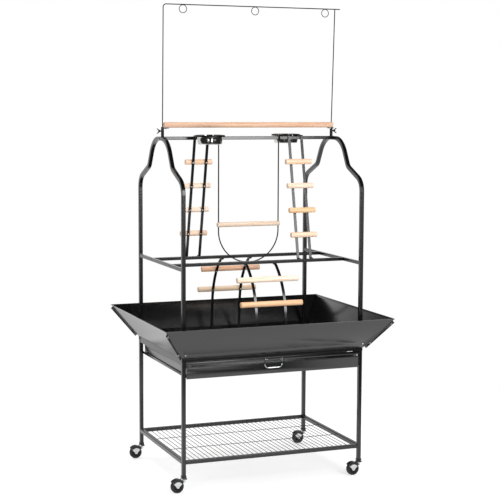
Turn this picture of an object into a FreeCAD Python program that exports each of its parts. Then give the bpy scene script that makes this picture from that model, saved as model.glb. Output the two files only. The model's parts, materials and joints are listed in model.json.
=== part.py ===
import FreeCAD, Part
import math
import os

from FreeCAD import Rotation, Vector

# Parrot play stand on casters. X runs along the long front, Y to the back, Z up. The
# origin is on the floor, midway between the four legs. Sizes are in millimetres.

# ---- Plan and heights ----
LEG_X = 367.5             # from the middle to the leg axes, along the front
LEG_Y = 275.0             # from the middle to the leg axes, front to back
LEG_FOOT_Z = 58.5         # lower end of the leg tubes
SHELF_Z = 115.4           # middle of the shelf rails
TABLE_TOP_Z = 513.6       # top of the table frame, where the uprights start
MID_BAR_Z = 848.3         # middle of the side bars and long bars
BEAM_Z = 1334.0           # middle of the top beam
HANGER_TOP_Z = 1850.0     # middle of the toy hanger's top rod

# ---- Tubes and sheet ----
TUBE = 15.0               # square tube of legs, shelf rails and arches
BAR = 13.0                # square tube of table rails, bars and beam
WALL = 1.2
TUBE_CORNER = 2.0         # outside corner radius
BAR_CORNER = 1.8
SHEET = 1.2               # skirt sheet
PAN_SHEET = 1.0
FIT = 0.1                 # gap all round where one tube slides over another
SLACK = 0.3               # gap where parts rest near each other without a fit

# ---- Table frame ----
SLEEVE_WALL = 1.15
SLEEVE_HEIGHT = 13.6
SPIGOT_LENGTH = 40.0      # how far the leg's spigot reaches into the upright
SPIGOT_ROOT = 20.0
SIDE_BAND = 24.4          # height of the side and back rails
BAND_DROP = 1.6           # their top, below the table frame's top
RUNNER_Z = 440.0          # underside of the drawer runners
RUNNER_WEB = 10.0
RUNNER_LEDGE = 12.0

# ---- Drawer ----
PAN_BOTTOM_Z = 435.4      # lower edge of the drawer front
PAN_RIM_Z = 479.5
PAN_BACK_Y = 254.0
PAN_SIDE_GAP = 1.0        # between the pan's side and the runner's web
PAN_FRONT_PROUD = 6.0     # front of the pan, ahead of the leg axes
BEAD_R = 1.6              # rolled bead under the pan's rim
BEAD_DROP = 3.0
STRIP_Z = 487.6
STRIP_HEIGHT = 11.8
STRIP_THICK = 3.0
TAB_X = 345.0             # riveted tabs that carry the pull strip
TAB_WIDTH = 14.0
TAB_LOW_Z = 462.0
HANDLE_X = -6.2           # the handle hangs a little left of the middle
HANDLE_HALF = 36.0
HANDLE_DROP = 33.0
HANDLE_WIRE_R = 2.0
HANDLE_TOP_BEND = 5.0
HANDLE_BOW_BEND = 16.0
LUG_HALF = 30.5
LUG_THICK = 5.0
LUG_REACH = 7.5
LUG_HEIGHT = 9.6
LUG_DROP = 2.2            # lug's top, below the strip's top
HANDLE_STUB = 9.0
HANDLE_AHEAD = 4.5        # pivot ahead of the strip's face

# ---- Seed skirt ----
SKIRT_RIM_X = 469.2
SKIRT_RIM_Y = 375.5
SKIRT_RIM_Z = 636.1
SKIRT_STANDOFF = 2.6      # from the uprights to the outer face at the skirt's foot
SKIRT_FOOT = 14.0         # foot flange that lies on the table rail
SKIRT_NOTCH = 10.0        # foot flange stops this far from the leg axes
HEM = 8.0
FLANGE = 10.0             # corner flanges
FLANGE_RISE = 7.1         # corner flange starts this far up its corner
FLANGE_SHORT = 12.4       # and ends this far below the rim
FLANGE_SCREWS = (33.8, 152.8)
CORNER_SCREW_Z = 532.0

# ---- Screws ----
SCREW_R = 2.0
SCREW_HEAD_R = 4.0
SCREW_HEAD = 2.2
SCREW_LONG = 16.0
SCREW_SHORT = 8.0
SCREW_FIT = 0.05
HOLE_OVER = 0.5           # clearance holes run past both ends by this much
OVERLAP = 1.0             # how far fused or cut solids run into one another

# ---- Shelf ----
GRID_WIRE = 2.6
GRID_PITCH = 20.0
GRID_BAYS = 3             # two cross wires make three bays
GRID_DROP = 0.8           # grid top below the rail top

# ---- End arches: corners of the path (Y, Z) and their bend radii ----
SHOULDER_Z = 1167.7
SHOULDER_R = 58.0
WAIST_Y = 149.0
WAIST_Z = 1221.6
WAIST_R = 40.0
CROWN_Y = 84.5
CROWN_R = 110.0

# ---- Long bars, beam and top ----
LONG_BAR_Y = 117.0
SOCKET_X = 360.0
SOCKET_R = 6.0
SOCKET_TOP_Z = 1377.6
ROD_R = 2.0
ROD_FIT = 0.1
BRACKET_THICK = 3.0
BRACKET_LONG = 20.0
PERCH_R = 11.0
PERCH_Y = -14.0
PERCH_Z = 1386.0
PERCH_INSET = 1.0         # perch end, short of the socket's axis
HANGER_BEND = 12.0
HANGER_TAIL_X = 392.3     # free right end of the top rod
HANGER_LEFT_LEAN = 4.0    # how far each upright leans to the right at its top
HANGER_RIGHT_LEAN = 10.5
HANGER_LEAN_BEND = 600.0  # gentle bend just above each socket
RING_R = 15.2
RING_WIRE_R = 1.4
RING_DROP = 16.8
RING_X = (-276.0, 24.6, 327.5)
WING_Z = 1362.0
BOLT_R = 2.5
BOLT_FIT = 0.1
BOLT_GAP = 0.8            # the bolts stand one turn loose, this far from the rod
BOLT_HUB_R = 4.5
BOLT_HUB_START = 4.0      # hub starts this far from the socket's side
BOLT_HUB_LENGTH = 7.0
WING_THICK = 2.4
WING_ROOT_R = 2.5         # where the wings leave the hub
WING_ROOT_START = 1.0
WING_ROOT_LENGTH = 4.0
WING_SPAN = 10.5
WING_TIP_SPAN = 8.5
WING_REACH = 19.0
WING_TIP = 5.0

# ---- Cups ----
CUP_X = 189.7
CUP_Y = 71.0
CUP_R = 52.4
CUP_FOOT_R = 47.0
CUP_DEPTH = 37.0
CUP_WALL = 1.0
CUP_LIP_R = 56.5
CUP_LIP = 1.4
RING_HOLDER_OUT = 59.0
RING_HOLDER_IN = 53.2
RING_HOLDER_HEIGHT = 6.5
HOLDER_TAB = 16.0
HOLDER_TAB_THICK = 3.0
HOLDER_TAB_LAP = 2.0      # how far the tab runs into the ring

# ---- Swing ----
SWING_WIRE_R = 2.5
SWING_BOW_Z = 965.0
SWING_PERCH_Z = 990.0
SWING_PERCH_R = 9.5
SWING_PERCH_HALF = 133.0
SWING_PERCH_END = 5.0     # wood beyond the wire, at each end
SWING_EYE_ROOM = 1.2      # the eye's inner radius beyond the beam's rounded corners

# ---- Ladders ----
FLAT = 4.0                # flat bar thickness and width
FLAT_WIDTH = 11.0
UPPER_X = 198.0
UPPER_RAIL_HALF = 27.0
UPPER_RUNG_R = 10.75
UPPER_RUNG_HALF = 55.5
UPPER_RUNG_Z = (950.0, 1047.0, 1144.0, 1239.0)
UPPER_HOOK_TIP = 10.0
UPPER_KINK_DROP = 9.0
PEG_R = 2.2
PEG_LENGTH = 8.0
UPPER_TOE_INSET = 2.0     # rail's end, short of the long bar's far side
LOWER_RAIL_HALF = 61.0
LOWER_BACK_X = -8.0
LOWER_FRONT_X = 4.0
LOWER_BACK_RUNG_X = -2.5
LOWER_FRONT_RUNG_X = 4.0
LOWER_RUNG_R = 11.0
LOWER_RUNG_HALF = 127.8
LOWER_RUNG_RISE = (-61.5, 28.5)   # rung axes above the long bend's corner
LOWER_BEND_Y = 227.6      # corner of the ladder's long bend
LOWER_BEND_Z = 761.5
LOWER_BEND_R = 262.0
LOWER_FOOT_Y = 244.5
LOWER_FOOT_BEND = 8.0
LOWER_FOOT_TOE = 27.5
LOWER_TAB_INSET = 0.5     # tab's end, short of the long bar's inner side
LOWER_TAB_REACH = 5.0     # tab's bend, beyond the bar's outer side
HOOK_BEND = 3.2

# ---- Casters ----
WHEEL_R = 25.4
WHEEL_WIDTH = 19.0
WHEEL_ROUND = 5.0
AXLE_R = 3.0
AXLE_FIT = 0.08
TRAIL = 26.4              # wheel axle behind the swivel axis
CASTER_TURN = 2.6         # degrees that all casters are turned in the photograph
HOOD_GAP = 1.6
HOOD_WALL = 1.6
HOOD_LEG_EAR = 34.0       # degrees above level where the hood ends
HOOD_FAR_EAR = 142.5
CHEEK_GAP = 0.8
CHEEK = 1.2
BOSS_R = 6.0
BELL_R = 14.6
BELL_TOP_R = 9.0
BELL_Z = 50.5
NECK_R = 8.0
NECK_Z = 44.0
STEM_R = 4.0
STEM_FIT = 0.08
STEM_LENGTH = 29.0
COLLAR = 19.0
COLLAR_FLOOR = 1.5
COLLAR_TOP = 5.5          # collar rises this far round the leg
PLUG_LENGTH = 29.5

# ---- Derived places ----
SIDES = (("left", -1), ("right", 1))
ENDS = (("front", -1), ("back", 1))
RAIL_Z = TABLE_TOP_Z - BAR / 2
BAND_Z = TABLE_TOP_Z - BAND_DROP - SIDE_BAND / 2
SLEEVE = TUBE + 2 * (FIT + SLEEVE_WALL)
ARCH_TOP_Z = BEAM_Z + BAR / 2
CROWN_Z = ARCH_TOP_Z - TUBE / 2
PERCH_HALF = SOCKET_X - PERCH_INSET
LEG_INNER_X = LEG_X - TUBE / 2
LEG_INNER_Y = LEG_Y - TUBE / 2
PAN_HALF = LEG_INNER_X - WALL - PAN_SIDE_GAP
STRIP_HALF = PAN_HALF + BEAD_R
SWING_X = SWING_PERCH_HALF - SWING_PERCH_END
PAN_FRONT_Y = -(LEG_Y + PAN_FRONT_PROUD)
PAN_FLOOR_Z = RUNNER_Z + WALL
STRIP_Y = PAN_FRONT_Y + PAN_SHEET - STRIP_THICK
HANDLE_Y = STRIP_Y - HANDLE_AHEAD
HANDLE_Z = STRIP_Z + STRIP_HEIGHT - LUG_DROP - LUG_HEIGHT / 2
BAR_TOP_Z = MID_BAR_Z + BAR / 2
BAR_LOW_Z = MID_BAR_Z - BAR / 2
CUP_RING_Z = ARCH_TOP_Z + RING_HOLDER_HEIGHT
CUP_RIM_Z = CUP_RING_Z + CUP_LIP
COLLAR_Z = LEG_FOOT_Z - COLLAR_FLOOR
BELL_TOP_Z = COLLAR_Z - SLACK
AXLE_X = -TRAIL
HOOD_R = WHEEL_R + HOOD_GAP + HOOD_WALL
CHEEK_OUT = WHEEL_WIDTH / 2 + CHEEK_GAP + CHEEK

X = Vector(1, 0, 0)
Y = Vector(0, 1, 0)
Z = Vector(0, 0, 1)
ZERO = Vector(0, 0, 0)


# ---- Helpers ----
def box(x0, x1, y0, y1, z0, z1):
    """Block between two opposite corners, given in any order."""
    low = Vector(min(x0, x1), min(y0, y1), min(z0, z1))
    size = (abs(x1 - x0), abs(y1 - y0), abs(z1 - z0))
    return Part.makeBox(size[0], size[1], size[2], low)


def rod(radius, start, end):
    """Straight cylinder from start to end."""
    along = end.sub(start)
    return Part.makeCylinder(radius, along.Length, start, along)


def rounded_rectangle(width, depth, corner):
    """Closed wire round the origin in the XY plane, with round corners."""
    edges = []
    last = None
    first = None
    for index, (sx, sy) in enumerate(((1, 1), (-1, 1), (-1, -1), (1, -1))):
        middle = Vector(sx * (width / 2 - corner), sy * (depth / 2 - corner), 0)
        points = []
        for turn in (0, 45, 90):
            angle = math.radians(90 * index + turn)
            points.append(middle.add(Vector(math.cos(angle), math.sin(angle), 0).multiply(corner)))
        if last:
            edges.append(Part.LineSegment(last, points[0]).toShape())
        else:
            first = points[0]
        edges.append(Part.Arc(*points).toShape())
        last = points[2]
    edges.append(Part.LineSegment(last, first).toShape())
    return Part.Wire(edges)


def turned(shape, origin, side, up, along):
    """Copy of a shape drawn in XY, with its X, Y and Z laid along side, up and along."""
    copy = shape.copy()
    copy.Placement = FreeCAD.Placement(origin, Rotation(side, up, along, "ZXY"))
    return copy


def straight_tube(start, end, up, width, height, corner, wall=WALL):
    """Hollow tube from start to end; height is measured along up."""
    along = end.sub(start)
    side = up.cross(along).normalize()
    outer = rounded_rectangle(width, height, corner)
    inner = rounded_rectangle(width - 2 * wall, height - 2 * wall, max(corner - wall, 0.3))
    face = Part.makeFace([outer, inner], "Part::FaceMakerBullseye")
    length = along.Length
    solid = face.extrude(Vector(0, 0, length))
    return turned(solid, start, side, up, along.multiply(1 / length))


def bent_path(points, radii):
    """Wire of straight runs through the points, with a tangent arc at each inner point."""
    edges = []
    last = points[0]
    for index, radius in enumerate(radii):
        corner = points[index + 1]
        back = points[index].sub(corner).normalize()
        ahead = points[index + 2].sub(corner).normalize()
        half = back.getAngle(ahead) / 2
        cut = radius / math.tan(half)
        middle_way = back.add(ahead).normalize()
        start = corner.add(Vector(back).multiply(cut))
        end = corner.add(Vector(ahead).multiply(cut))
        middle = corner.add(Vector(middle_way).multiply(radius / math.sin(half) - radius))
        if last.distanceToPoint(start) > 0.001:
            edges.append(Part.LineSegment(last, start).toShape())
        edges.append(Part.Arc(start, middle, end).toShape())
        last = end
    edges.append(Part.LineSegment(last, points[-1]).toShape())
    return Part.Wire(edges)


def swept(path, profile, start, along, side):
    """Solid of the profile wire swept along the path from its start."""
    up = along.cross(side)
    placed = turned(profile, start, side, up, along)
    return path.makePipeShell([placed], True, False)


def bent_rod(points, radii, radius, side):
    """Round wire bent through the points; side is square to the path's plane."""
    path = bent_path(points, radii)
    profile = Part.Wire(Part.makeCircle(radius))
    along = points[1].sub(points[0]).normalize()
    return swept(path, profile, points[0], along, side)


def bent_flat(points, radii, x):
    """Flat bar bent through (Y, Z) points, its width lying along X."""
    places = [Vector(x, y, z) for y, z in points]
    path = bent_path(places, radii)
    profile = rounded_rectangle(FLAT_WIDTH, FLAT, FLAT / 8)
    along = places[1].sub(places[0]).normalize()
    return swept(path, profile, places[0], along, X)


def block_from_faces(outer, inner):
    """Solid between two four-cornered outlines that match corner to corner."""
    loops = [outer, inner[::-1]]
    for index in range(4):
        after = (index + 1) % 4
        loops.append([outer[after], outer[index], inner[index], inner[after]])
    faces = [Part.Face(Part.makePolygon(loop + [loop[0]])) for loop in loops]
    solid = Part.Solid(Part.Shell(faces))
    if solid.Volume < 0:
        solid.reverse()
    return solid


def fused(shapes):
    """One solid from pieces that are welded or formed together."""
    return shapes[0].multiFuse(shapes[1:]).removeSplitter()


def screw(head_base, way, length):
    """Pan-head screw: its head stands on head_base and its shank runs along way."""
    along = Vector(way).normalize()
    shank = rod(SCREW_R, head_base, head_base.add(Vector(along).multiply(length)))
    top = head_base.sub(Vector(along).multiply(SCREW_HEAD))
    head = Part.makeCone(SCREW_HEAD_R * 0.7, SCREW_HEAD_R, SCREW_HEAD, top, along)
    return head.fuse(shank)


def screw_hole(head_base, way, length):
    """Clearance hole for such a screw."""
    along = Vector(way).normalize()
    start = head_base.sub(Vector(along).multiply(HOLE_OVER))
    end = head_base.add(Vector(along).multiply(length + HOLE_OVER))
    return rod(SCREW_R + SCREW_FIT, start, end)


def mirrored_y(shape):
    """The same piece on the other side of the XZ plane."""
    return shape.mirror(ZERO, Y)


def save(name, shapes):
    """Write one node; a list is a group of separate solids."""
    shape = Part.makeCompound(shapes) if isinstance(shapes, list) else shapes
    shape.exportStep("parts/" + name + ".step")


# ---- Screw places: (head base, way, length) ----
def bar_screws():
    """Through the side bars into the ends of the long bars."""
    places = []
    for _, sx in SIDES:
        for _, sy in ENDS:
            base = Vector(sx * (LEG_X + BAR / 2), sy * LONG_BAR_Y, MID_BAR_Z)
            places.append((base, Vector(-sx, 0, 0), SCREW_LONG))
    return places


def beam_screws():
    """Through the crown of each arch into the beam."""
    places = []
    for _, sx in SIDES:
        base = Vector(sx * (LEG_X + TUBE / 2), 0, CROWN_Z)
        places.append((base, Vector(-sx, 0, 0), SCREW_LONG))
    return places


def cup_screws():
    """Down through each ring holder's tab and the beam."""
    top = ARCH_TOP_Z + HOLDER_TAB_THICK
    return [(Vector(side * CUP_X, 0, top), Vector(0, 0, -1), SCREW_LONG) for _, side in SIDES]


def perch_screws():
    """Up through each socket's bracket into the top perch."""
    low = PERCH_Z - PERCH_R - SLACK - BRACKET_THICK
    inset = SOCKET_X - BRACKET_LONG / 2
    return [(Vector(sx * inset, PERCH_Y, low), Vector(0, 0, 1), SCREW_LONG) for _, sx in SIDES]


def ladder_screws():
    """Up through each lower ladder's tabs into the long bars."""
    places = []
    for middle_x, sy in ((LOWER_BACK_X, 1), (LOWER_FRONT_X, -1)):
        for side in (-1, 1):
            base = Vector(middle_x + side * LOWER_RAIL_HALF, sy * LONG_BAR_Y, BAR_LOW_Z - FLAT)
            places.append((base, Vector(0, 0, 1), SCREW_SHORT))
    return places


def drill(shape, places):
    """Cut the screws' clearance holes."""
    return shape.cut(Part.makeCompound([screw_hole(*place) for place in places]))


# ---- Casters ----
def on_leg(shape, sx, sy):
    """Turn a caster piece as the photograph shows it and set it under a leg."""
    copy = shape.copy()
    copy.rotate(ZERO, Z, CASTER_TURN)
    copy.translate(Vector(sx * LEG_X, sy * LEG_Y, 0))
    return copy


def around_axle(radius, degrees, y):
    """Point at an angle above level round the wheel's axle."""
    angle = math.radians(degrees)
    return Vector(AXLE_X + radius * math.cos(angle), y, WHEEL_R + radius * math.sin(angle))


def hood_sector(outer, inner, y0, y1):
    """Sector of the hood between its two ears."""
    middle = (HOOD_LEG_EAR + HOOD_FAR_EAR) / 2
    ears = (HOOD_LEG_EAR, middle, HOOD_FAR_EAR)
    far = [around_axle(outer, ear, y0) for ear in ears]
    near = [around_axle(inner, ear, y0) for ear in ears]
    edges = [
        Part.Arc(*far).toShape(),
        Part.LineSegment(far[2], near[2]).toShape(),
        Part.Arc(*near[::-1]).toShape(),
        Part.LineSegment(near[0], far[0]).toShape(),
    ]
    return Part.Face(Part.Wire(edges)).extrude(Vector(0, y1 - y0, 0))


def fork_cheek(side):
    """Side plate from the hood down to the axle."""
    y0 = side * CHEEK_OUT
    y1 = side * (CHEEK_OUT - CHEEK)
    ears = (HOOD_LEG_EAR, (HOOD_LEG_EAR + HOOD_FAR_EAR) / 2, HOOD_FAR_EAR)
    rim = [around_axle(HOOD_R - HOOD_WALL / 2, ear, y0) for ear in ears]
    low = [around_axle(BOSS_R, 180, y0), around_axle(BOSS_R, 0, y0)]
    edges = [
        Part.Arc(*rim).toShape(),
        Part.LineSegment(rim[2], low[0]).toShape(),
        Part.LineSegment(low[0], low[1]).toShape(),
        Part.LineSegment(low[1], rim[0]).toShape(),
    ]
    plate = Part.Face(Part.Wire(edges)).extrude(Vector(0, y1 - y0, 0))
    axle = around_axle(0, 0, y0)
    return plate.fuse(rod(BOSS_R, axle, axle.add(Vector(0, y1 - y0, 0))))


def caster_fork():
    """Hooded fork with its swivel bell, stem and axle pin, under a leg at the origin."""
    hood = hood_sector(HOOD_R, HOOD_R - HOOD_WALL, -CHEEK_OUT, CHEEK_OUT)
    axle = rod(AXLE_R, around_axle(0, 0, -CHEEK_OUT), around_axle(0, 0, CHEEK_OUT))
    bell = Part.makeCone(BELL_R, BELL_TOP_R, BELL_TOP_Z - BELL_Z, Vector(0, 0, BELL_Z))
    stem = rod(STEM_R, Vector(0, 0, BELL_TOP_Z - OVERLAP), Vector(0, 0, COLLAR_Z + STEM_LENGTH))
    neck = rod(NECK_R, Vector(0, 0, NECK_Z), Vector(0, 0, BELL_Z + OVERLAP))
    tunnel_r = WHEEL_R + HOOD_GAP
    tunnel = rod(tunnel_r, around_axle(0, 0, -2 * CHEEK_OUT), around_axle(0, 0, 2 * CHEEK_OUT))
    return fused([hood, fork_cheek(-1), fork_cheek(1), axle, bell.fuse(neck).cut(tunnel), stem])


def caster_wheel():
    """Wheel with rounded tread and its axle bore."""
    half = WHEEL_WIDTH / 2
    wheel = rod(WHEEL_R, around_axle(0, 0, -half), around_axle(0, 0, half))
    rims = [edge for edge in wheel.Edges if isinstance(edge.Curve, Part.Circle)]
    wheel = wheel.makeFillet(WHEEL_ROUND, rims)
    bore = rod(AXLE_R + AXLE_FIT, around_axle(0, 0, -WHEEL_WIDTH), around_axle(0, 0, WHEEL_WIDTH))
    return wheel.cut(bore)


def caster_collar():
    """Collar round the leg's foot, with the plug that holds the caster's stem."""
    foot = rounded_rectangle(COLLAR, COLLAR, TUBE_CORNER * 2)
    foot = Part.Face(foot).extrude(Vector(0, 0, COLLAR_FLOOR + COLLAR_TOP))
    foot.translate(Vector(0, 0, COLLAR_Z))
    pocket = Part.Face(rounded_rectangle(TUBE + 2 * FIT, TUBE + 2 * FIT, TUBE_CORNER))
    pocket = pocket.extrude(Vector(0, 0, COLLAR_TOP))
    pocket.translate(Vector(0, 0, LEG_FOOT_Z))
    across = TUBE - 2 * WALL - 2 * FIT
    plug = Part.Face(rounded_rectangle(across, across, TUBE_CORNER)).extrude(Vector(0, 0, PLUG_LENGTH))
    plug.translate(Vector(0, 0, LEG_FOOT_Z - COLLAR_FLOOR / 2))
    bore = rod(STEM_R + STEM_FIT, Vector(0, 0, COLLAR_Z), Vector(0, 0, LEG_FOOT_Z + PLUG_LENGTH))
    return foot.cut(pocket).fuse(plug).cut(bore)


def save_casters():
    fork = caster_fork()
    wheel = caster_wheel()
    collar = caster_collar()
    collars = []
    for end, sy in ENDS:
        for side, sx in SIDES:
            save("caster_fork_" + end + "_" + side, on_leg(fork, sx, sy))
            save("caster_wheel_" + end + "_" + side, on_leg(wheel, sx, sy))
            copy = collar.copy()
            copy.translate(Vector(sx * LEG_X, sy * LEG_Y, 0))
            collars.append(copy)
    save("caster_collars", collars)


# ---- Legs, shelf and table frame ----
def leg(x, y):
    """Leg tube with the spigot that the upright drops over."""
    top = Vector(x, y, TABLE_TOP_Z)
    tube = straight_tube(Vector(x, y, LEG_FOOT_Z), top, Y, TUBE, TUBE, TUBE_CORNER)
    bore = TUBE - 2 * WALL
    inner_corner = TUBE_CORNER - WALL
    root = top.sub(Vector(0, 0, SPIGOT_ROOT))
    weld = straight_tube(root, top, Y, bore, bore, inner_corner, WALL + FIT)
    neck = bore - 2 * FIT
    spigot = straight_tube(root, top.add(Vector(0, 0, SPIGOT_LENGTH)), Y, neck, neck, inner_corner)
    return fused([tube, weld, spigot])


def save_legs():
    for end, sy in ENDS:
        for side, sx in SIDES:
            save("leg_" + end + "_" + side, leg(sx * LEG_X, sy * LEG_Y))


def save_shelf():
    for end, sy in ENDS:
        start = Vector(-LEG_INNER_X, sy * LEG_Y, SHELF_Z)
        rail = straight_tube(start, Vector(LEG_INNER_X, sy * LEG_Y, SHELF_Z), Z, TUBE, TUBE, TUBE_CORNER)
        save("shelf_rail_" + end, rail)
    for side, sx in SIDES:
        start = Vector(sx * LEG_X, -LEG_INNER_Y, SHELF_Z)
        rail = straight_tube(start, Vector(sx * LEG_X, LEG_INNER_Y, SHELF_Z), Z, TUBE, TUBE, TUBE_CORNER)
        save("shelf_rail_" + side, rail)
    save("shelf_grid", shelf_grid())


def shelf_grid():
    """Flat grid of wires between the shelf rails, as one holed face."""
    columns = round(2 * LEG_INNER_X / GRID_PITCH)
    across = (2 * LEG_INNER_X - GRID_WIRE) / columns
    deep = (2 * LEG_INNER_Y - GRID_WIRE) / GRID_BAYS
    base = Vector(-LEG_INNER_X, -LEG_INNER_Y, 0)
    wires = [Part.Wire(Part.makePlane(2 * LEG_INNER_X, 2 * LEG_INNER_Y, base).Edges)]
    for column in range(columns):
        for bay in range(GRID_BAYS):
            corner = base.add(Vector(GRID_WIRE + column * across, GRID_WIRE + bay * deep, 0))
            gap = Part.makePlane(across - GRID_WIRE, deep - GRID_WIRE, corner)
            wires.append(Part.Wire(gap.Edges))
    grid = Part.makeFace(wires, "Part::FaceMakerBullseye").extrude(Vector(0, 0, GRID_WIRE))
    grid.translate(Vector(0, 0, SHELF_Z + TUBE / 2 - GRID_DROP - GRID_WIRE))
    return grid


def corner_sleeve(x, y):
    """Sleeve welded to a table rail, round the top of a leg."""
    start = Vector(x, y, TABLE_TOP_Z - SLEEVE_HEIGHT)
    corner = TUBE_CORNER + SLEEVE_WALL
    return straight_tube(start, Vector(x, y, TABLE_TOP_Z), Y, SLEEVE, SLEEVE, corner, SLEEVE_WALL)


def save_table():
    reach_x = LEG_X - SLEEVE / 2
    reach_y = LEG_Y - SLEEVE / 2
    for end, sy in ENDS:
        high = BAR if end == "front" else SIDE_BAND
        middle = RAIL_Z if end == "front" else BAND_Z
        start = Vector(-reach_x, sy * LEG_Y, middle)
        rail = straight_tube(start, Vector(reach_x, sy * LEG_Y, middle), Z, BAR, high, BAR_CORNER)
        sleeves = [corner_sleeve(sx * LEG_X, sy * LEG_Y) for _, sx in SIDES]
        save("table_rail_" + end, fused([rail] + sleeves))
    for side, sx in SIDES:
        start = Vector(sx * LEG_X, -reach_y, BAND_Z)
        rail = straight_tube(start, Vector(sx * LEG_X, reach_y, BAND_Z), Z, BAR, SIDE_BAND, BAR_CORNER)
        save("table_rail_" + side, rail)
        save("drawer_runner_" + side, drawer_runner(sx))


def drawer_runner(sx):
    """Angle between the legs that the pan slides on."""
    outer = sx * LEG_INNER_X
    web = box(outer, outer - sx * WALL, -LEG_Y, LEG_Y, RUNNER_Z, RUNNER_Z + RUNNER_WEB)
    ledge = box(outer, outer - sx * (WALL + RUNNER_LEDGE), -LEG_Y, LEG_Y, RUNNER_Z, RUNNER_Z + WALL)
    return fused([web, ledge])


# ---- Drawer ----
def drawer_pan():
    """Folded sheet pan with a deeper front and a rolled bead round its rim."""
    front = PAN_FRONT_Y
    half = PAN_HALF
    floor = box(-half, half, front, PAN_BACK_Y, PAN_FLOOR_Z, PAN_FLOOR_Z + PAN_SHEET)
    walls = [
        box(-half, half, front, front + PAN_SHEET, PAN_BOTTOM_Z, PAN_RIM_Z),
        box(-half, half, PAN_BACK_Y - PAN_SHEET, PAN_BACK_Y, PAN_FLOOR_Z, PAN_RIM_Z),
        box(-half, -half + PAN_SHEET, front, PAN_BACK_Y, PAN_FLOOR_Z, PAN_RIM_Z),
        box(half - PAN_SHEET, half, front, PAN_BACK_Y, PAN_FLOOR_Z, PAN_RIM_Z),
    ]
    z = PAN_RIM_Z - BEAD_DROP
    corners = ((-half, front), (half, front), (half, PAN_BACK_Y), (-half, PAN_BACK_Y))
    beads = []
    for index in range(4):
        start = Vector(corners[index][0], corners[index][1], z)
        end = Vector(corners[(index + 1) % 4][0], corners[(index + 1) % 4][1], z)
        beads.append(rod(BEAD_R, start, end))
        beads.append(Part.makeSphere(BEAD_R, start))
    hollow = box(-half + PAN_SHEET, half - PAN_SHEET, front + PAN_SHEET, PAN_BACK_Y - PAN_SHEET,
                 PAN_FLOOR_Z + PAN_SHEET, PAN_RIM_Z + BEAD_R)
    return fused([floor] + walls + beads).cut(hollow)


def drawer_pull_strip():
    """Strip above the pan, carried by two tabs inside its front, with the handle's lugs."""
    top = STRIP_Z + STRIP_HEIGHT
    strip = box(-STRIP_HALF, STRIP_HALF, STRIP_Y, STRIP_Y + STRIP_THICK, STRIP_Z, top)
    inside = PAN_FRONT_Y + PAN_SHEET
    pieces = [strip]
    for _, sx in SIDES:
        x = sx * TAB_X
        pieces.append(box(x - TAB_WIDTH / 2, x + TAB_WIDTH / 2, inside, inside + WALL, TAB_LOW_Z, top))
        lug = HANDLE_X + sx * LUG_HALF
        pieces.append(box(lug - LUG_THICK / 2, lug + LUG_THICK / 2, STRIP_Y - LUG_REACH, STRIP_Y,
                          HANDLE_Z - LUG_HEIGHT / 2, HANDLE_Z + LUG_HEIGHT / 2))
    pivot = HANDLE_HALF + HANDLE_STUB
    bore = rod(HANDLE_WIRE_R + FIT, Vector(HANDLE_X - pivot, HANDLE_Y, HANDLE_Z),
               Vector(HANDLE_X + pivot, HANDLE_Y, HANDLE_Z))
    return fused(pieces).cut(bore)


def drawer_handle():
    """Bail of round wire, its ends turned in through the lugs."""
    stub = HANDLE_HALF - HANDLE_STUB
    low = HANDLE_Z - HANDLE_DROP
    points = [
        Vector(HANDLE_X - stub, HANDLE_Y, HANDLE_Z),
        Vector(HANDLE_X - HANDLE_HALF, HANDLE_Y, HANDLE_Z),
        Vector(HANDLE_X - HANDLE_HALF, HANDLE_Y, low),
        Vector(HANDLE_X + HANDLE_HALF, HANDLE_Y, low),
        Vector(HANDLE_X + HANDLE_HALF, HANDLE_Y, HANDLE_Z),
        Vector(HANDLE_X + stub, HANDLE_Y, HANDLE_Z),
    ]
    bends = [HANDLE_TOP_BEND / 2, HANDLE_BOW_BEND, HANDLE_BOW_BEND, HANDLE_TOP_BEND / 2]
    return bent_rod(points, bends, HANDLE_WIRE_R, Y)


# ---- Seed skirt ----
SKIRT_FOOT_X = LEG_X + TUBE / 2 + SKIRT_STANDOFF
SKIRT_FOOT_Y = LEG_Y + TUBE / 2 + SKIRT_STANDOFF
SKIRT_LEAN_X = math.atan2(SKIRT_RIM_X - SKIRT_FOOT_X, SKIRT_RIM_Z - TABLE_TOP_Z)
SKIRT_LEAN_Y = math.atan2(SKIRT_RIM_Y - SKIRT_FOOT_Y, SKIRT_RIM_Z - TABLE_TOP_Z)


def skirt_ring(inset, z):
    """Half sizes of the skirt at a height, measured inset below its outer face."""
    share = (z - TABLE_TOP_Z) / (SKIRT_RIM_Z - TABLE_TOP_Z)
    half_x = SKIRT_FOOT_X + share * (SKIRT_RIM_X - SKIRT_FOOT_X) - inset / math.cos(SKIRT_LEAN_X)
    half_y = SKIRT_FOOT_Y + share * (SKIRT_RIM_Y - SKIRT_FOOT_Y) - inset / math.cos(SKIRT_LEAN_Y)
    return half_x, half_y


def skirt_plate(end, sign, inset0, inset1, z0, z1):
    """Sloping plate of one side between two insets and two heights, mitred at its ends."""
    outlines = []
    for inset in (inset0, inset1):
        low_x, low_y = skirt_ring(inset, z0)
        high_x, high_y = skirt_ring(inset, z1)
        if end in ("front", "back"):
            outlines.append([
                Vector(-low_x, sign * low_y, z0), Vector(low_x, sign * low_y, z0),
                Vector(high_x, sign * high_y, z1), Vector(-high_x, sign * high_y, z1),
            ])
        else:
            outlines.append([
                Vector(sign * low_x, -low_y, z0), Vector(sign * low_x, low_y, z0),
                Vector(sign * high_x, high_y, z1), Vector(sign * high_x, -high_y, z1),
            ])
    return block_from_faces(outlines[0], outlines[1])


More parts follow.
